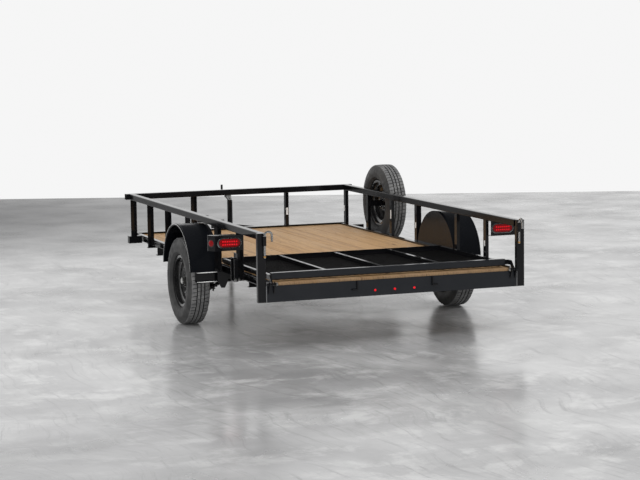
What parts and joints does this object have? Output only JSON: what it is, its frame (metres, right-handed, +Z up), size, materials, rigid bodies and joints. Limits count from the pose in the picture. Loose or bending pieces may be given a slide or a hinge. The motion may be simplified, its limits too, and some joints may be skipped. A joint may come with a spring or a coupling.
{
  "type": "utility trailer",
  "caption": "Open utility trailer with timber deck, tube side rails, folded ramp gate, round fenders, A-frame tongue, jack and side-mounted spare wheel.",
  "frame": {"origin": "on the floor, below the middle of the outline", "axes": "+X to the trailer's right, +Y forward towards the coupler, +Z up"},
  "size_m": [2.5648, 4.9902, 1.082],
  "materials": {
    "frame_paint": "gloss",
    "deck_timber": "matte",
    "tyre_rubber": "matte",
    "wheel_paint": "gloss",
    "zinc_plate": "satin",
    "grip_rubber": "matte",
    "red_lens": "gloss",
    "amber_lens": "gloss"
  },
  "bodies": {
    "trailer": {"axle": "frame_paint", "axle_clamps": "zinc_plate", "coupler": "frame_paint", "coupler_latch": "frame_paint", "crossmembers": "frame_paint", "deck_boards": "deck_timber", "fender_outriggers": "frame_paint", "fenders": "frame_paint", "front_lamp_boxes": "frame_paint", "front_marker_lamps": "amber_lens", "front_member": "frame_paint", "front_posts": "frame_paint", "hinge_brackets": "frame_paint", "jack_bracket": "frame_paint", "jack_crank": "grip_rubber", "jack_head": "zinc_plate", "jack_tube": "frame_paint", "latch_pins": "zinc_plate", "latch_sleeves": "frame_paint", "leaf_springs": "frame_paint", "outrigger_gussets": "frame_paint", "post_brackets": "frame_paint", "rear_channel": "frame_paint", "rear_hooks": "frame_paint", "rear_marker_lamps": "red_lens", "rear_posts": "frame_paint", "side_marker_lamps": "red_lens", "side_posts_left": "frame_paint", "side_posts_right": "frame_paint", "side_rails": "frame_paint", "spare_carrier": "frame_paint", "spare_rim": "wheel_paint", "spare_tyre": "tyre_rubber", "spring_hangers": "frame_paint", "spring_seats": "frame_paint", "tail_lamp_boxes": "frame_paint", "tail_lamps": "red_lens", "tongue_rails": "frame_paint", "top_rail_front": "frame_paint", "top_rail_left": "frame_paint", "top_rail_right": "frame_paint"},
    "wheel_left": {"tyre_left": "tyre_rubber", "rim_left": "wheel_paint", "hub_left": "zinc_plate", "grease_cap_left": "zinc_plate"},
    "wheel_right": {"tyre_right": "tyre_rubber", "rim_right": "wheel_paint", "hub_right": "zinc_plate", "grease_cap_right": "zinc_plate"},
    "gate": {"gate_rear_bar": "frame_paint", "gate_end_bar": "frame_paint", "gate_ribs": "frame_paint", "gate_mesh": "frame_paint", "gate_arms": "frame_paint"},
    "jack_leg_body": {"jack_leg": "zinc_plate"}
  },
  "joints": [
    {"name": "wheel_left_spin", "type": "hinge", "parent": "trailer", "child": "wheel_left", "pos_m": [0, -0.9071, 0.345], "axis": [1, 0, 0], "continuous": true},
    {"name": "wheel_right_spin", "type": "hinge", "parent": "trailer", "child": "wheel_right", "pos_m": [0, -0.9071, 0.345], "axis": [1, 0, 0], "continuous": true},
    {"name": "gate_hinge", "type": "hinge", "parent": "trailer", "child": "gate", "pos_m": [0, -2.4371, 0.491], "axis": [1, 0, 0], "range_deg": [0, 199]},
    {"name": "jack_slide", "type": "slide", "parent": "trailer", "child": "jack_leg_body", "axis": [0, 0, 1], "range_m": [0, 0.25]}
  ]
}
